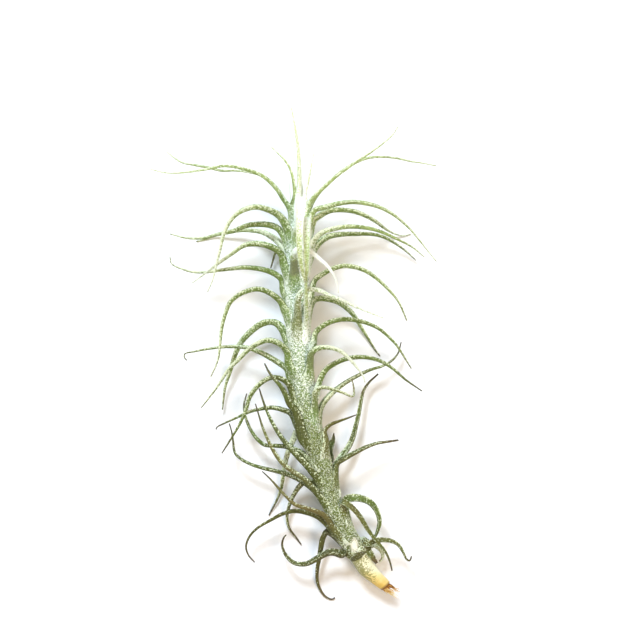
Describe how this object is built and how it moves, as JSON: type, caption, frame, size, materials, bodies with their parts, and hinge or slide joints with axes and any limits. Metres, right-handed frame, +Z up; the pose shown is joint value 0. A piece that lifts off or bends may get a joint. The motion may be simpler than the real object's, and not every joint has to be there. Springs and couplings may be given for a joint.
{
  "type": "tillandsia stellifera",
  "caption": "Small caulescent air plant lying on its side: a curved stem clasped by narrow silvery leaves that arch out and back, with a bare torn lower end.",
  "frame": {"origin": "on the table, under the middle of the plant's bounding box", "axes": "+Y towards the growing tip along the plant's length, +X to the right seen from above with the tip away from the viewer, +Z up from the table"},
  "size_m": [0.0594, 0.1025, 0.0328],
  "materials": {
    "leafy_stem": "matte, covered in fine silvery scales",
    "bare_stem_end": "smooth, dull, cream to ochre",
    "frayed_fibres": "dry fibres, matte"
  },
  "bodies": {
    "root": {"leafy_stem": "leafy_stem", "bare_stem_end": "bare_stem_end", "frayed_fibres": "frayed_fibres"}
  },
  "joints": []
}
